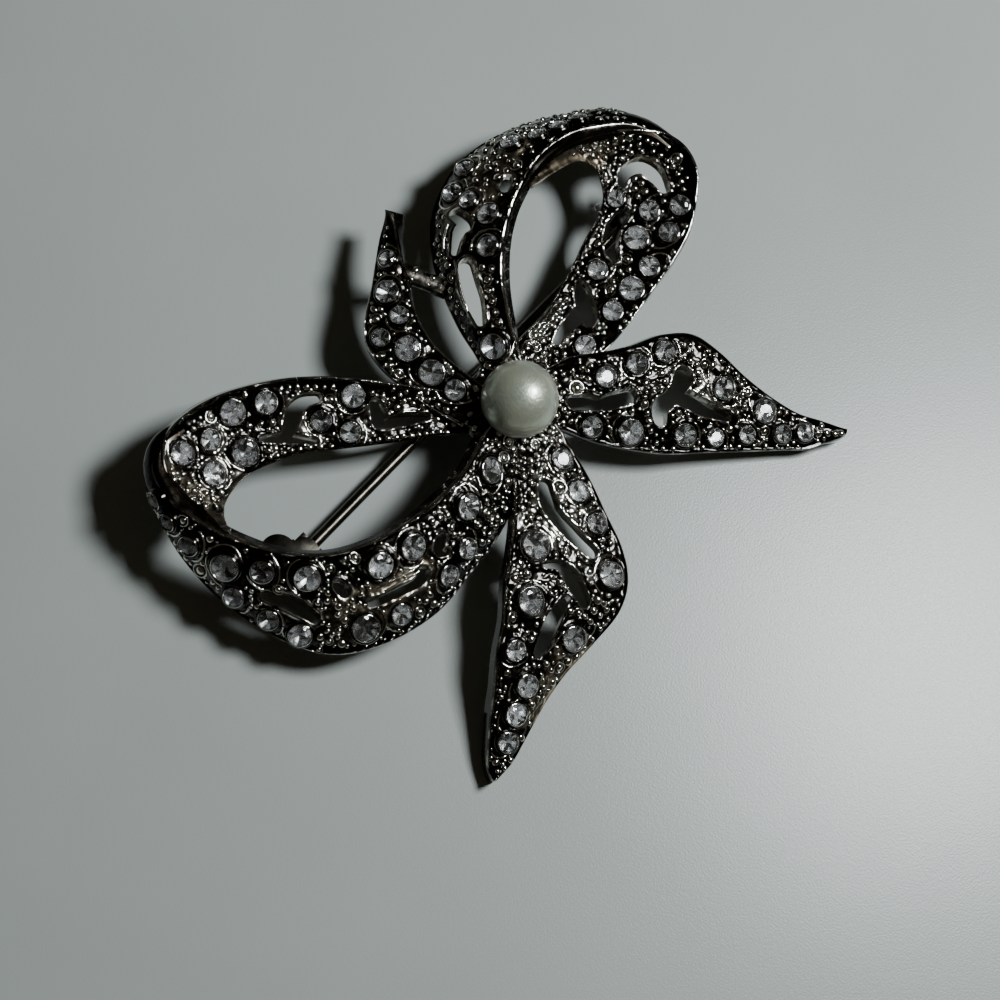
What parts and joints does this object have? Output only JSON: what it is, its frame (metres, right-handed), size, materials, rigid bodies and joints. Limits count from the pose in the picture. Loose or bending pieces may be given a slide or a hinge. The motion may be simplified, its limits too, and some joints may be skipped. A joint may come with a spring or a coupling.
{
  "type": "bow brooch",
  "caption": "Openwork ribbon-bow brooch: one cast metal bow with stones in cups, a pearl on its knot, and a hinged pin that closes into a catch on its back.",
  "frame": {"origin": "on the surface that the brooch lies on, under the middle of its outline", "axes": "+Z out of the front face, +X along the pin from its hinge to its catch, which is also the bow's longest extent, -Y towards the two long tails"},
  "size_m": [0.0615, 0.0447, 0.0121],
  "materials": {
    "cast_metal": "antiqued gunmetal plating, near black in the recesses and bright on raised edges",
    "pearl": "cream imitation pearl with a soft lustre",
    "crystal": "clear cut rhinestone with a foiled back",
    "pin_steel": "drawn steel wire",
    "finding_steel": "stamped steel, dull"
  },
  "bodies": {
    "brooch": {"bow_casting": "cast_metal", "pearl": "pearl", "small_stones": "crystal", "pin_hinge": "finding_steel", "hinge_rivet": "finding_steel", "pin_catch": "finding_steel", "stone_1": "crystal", "stone_2": "crystal", "stone_3": "crystal", "stone_4": "crystal", "stone_5": "crystal", "stone_6": "crystal", "stone_7": "crystal", "stone_8": "crystal", "stone_9": "crystal", "stone_10": "crystal", "stone_11": "crystal", "stone_12": "crystal", "stone_13": "crystal", "stone_14": "crystal", "stone_15": "crystal", "stone_16": "crystal", "stone_17": "crystal", "stone_18": "crystal", "stone_19": "crystal", "stone_20": "crystal", "stone_21": "crystal", "stone_22": "crystal", "stone_23": "crystal", "stone_24": "crystal", "stone_25": "crystal", "stone_26": "crystal", "stone_27": "crystal", "stone_28": "crystal", "stone_29": "crystal", "stone_30": "crystal", "stone_31": "crystal", "stone_32": "crystal", "stone_33": "crystal"},
    "pin": {"pin_stem": "pin_steel"}
  },
  "joints": [
    {"name": "pin_hinge", "type": "hinge", "parent": "brooch", "child": "pin", "pos_m": [-0.0216, 0.0061, 0.0014], "axis": [0, 1, 0], "range_deg": [0, 75]}
  ]
}
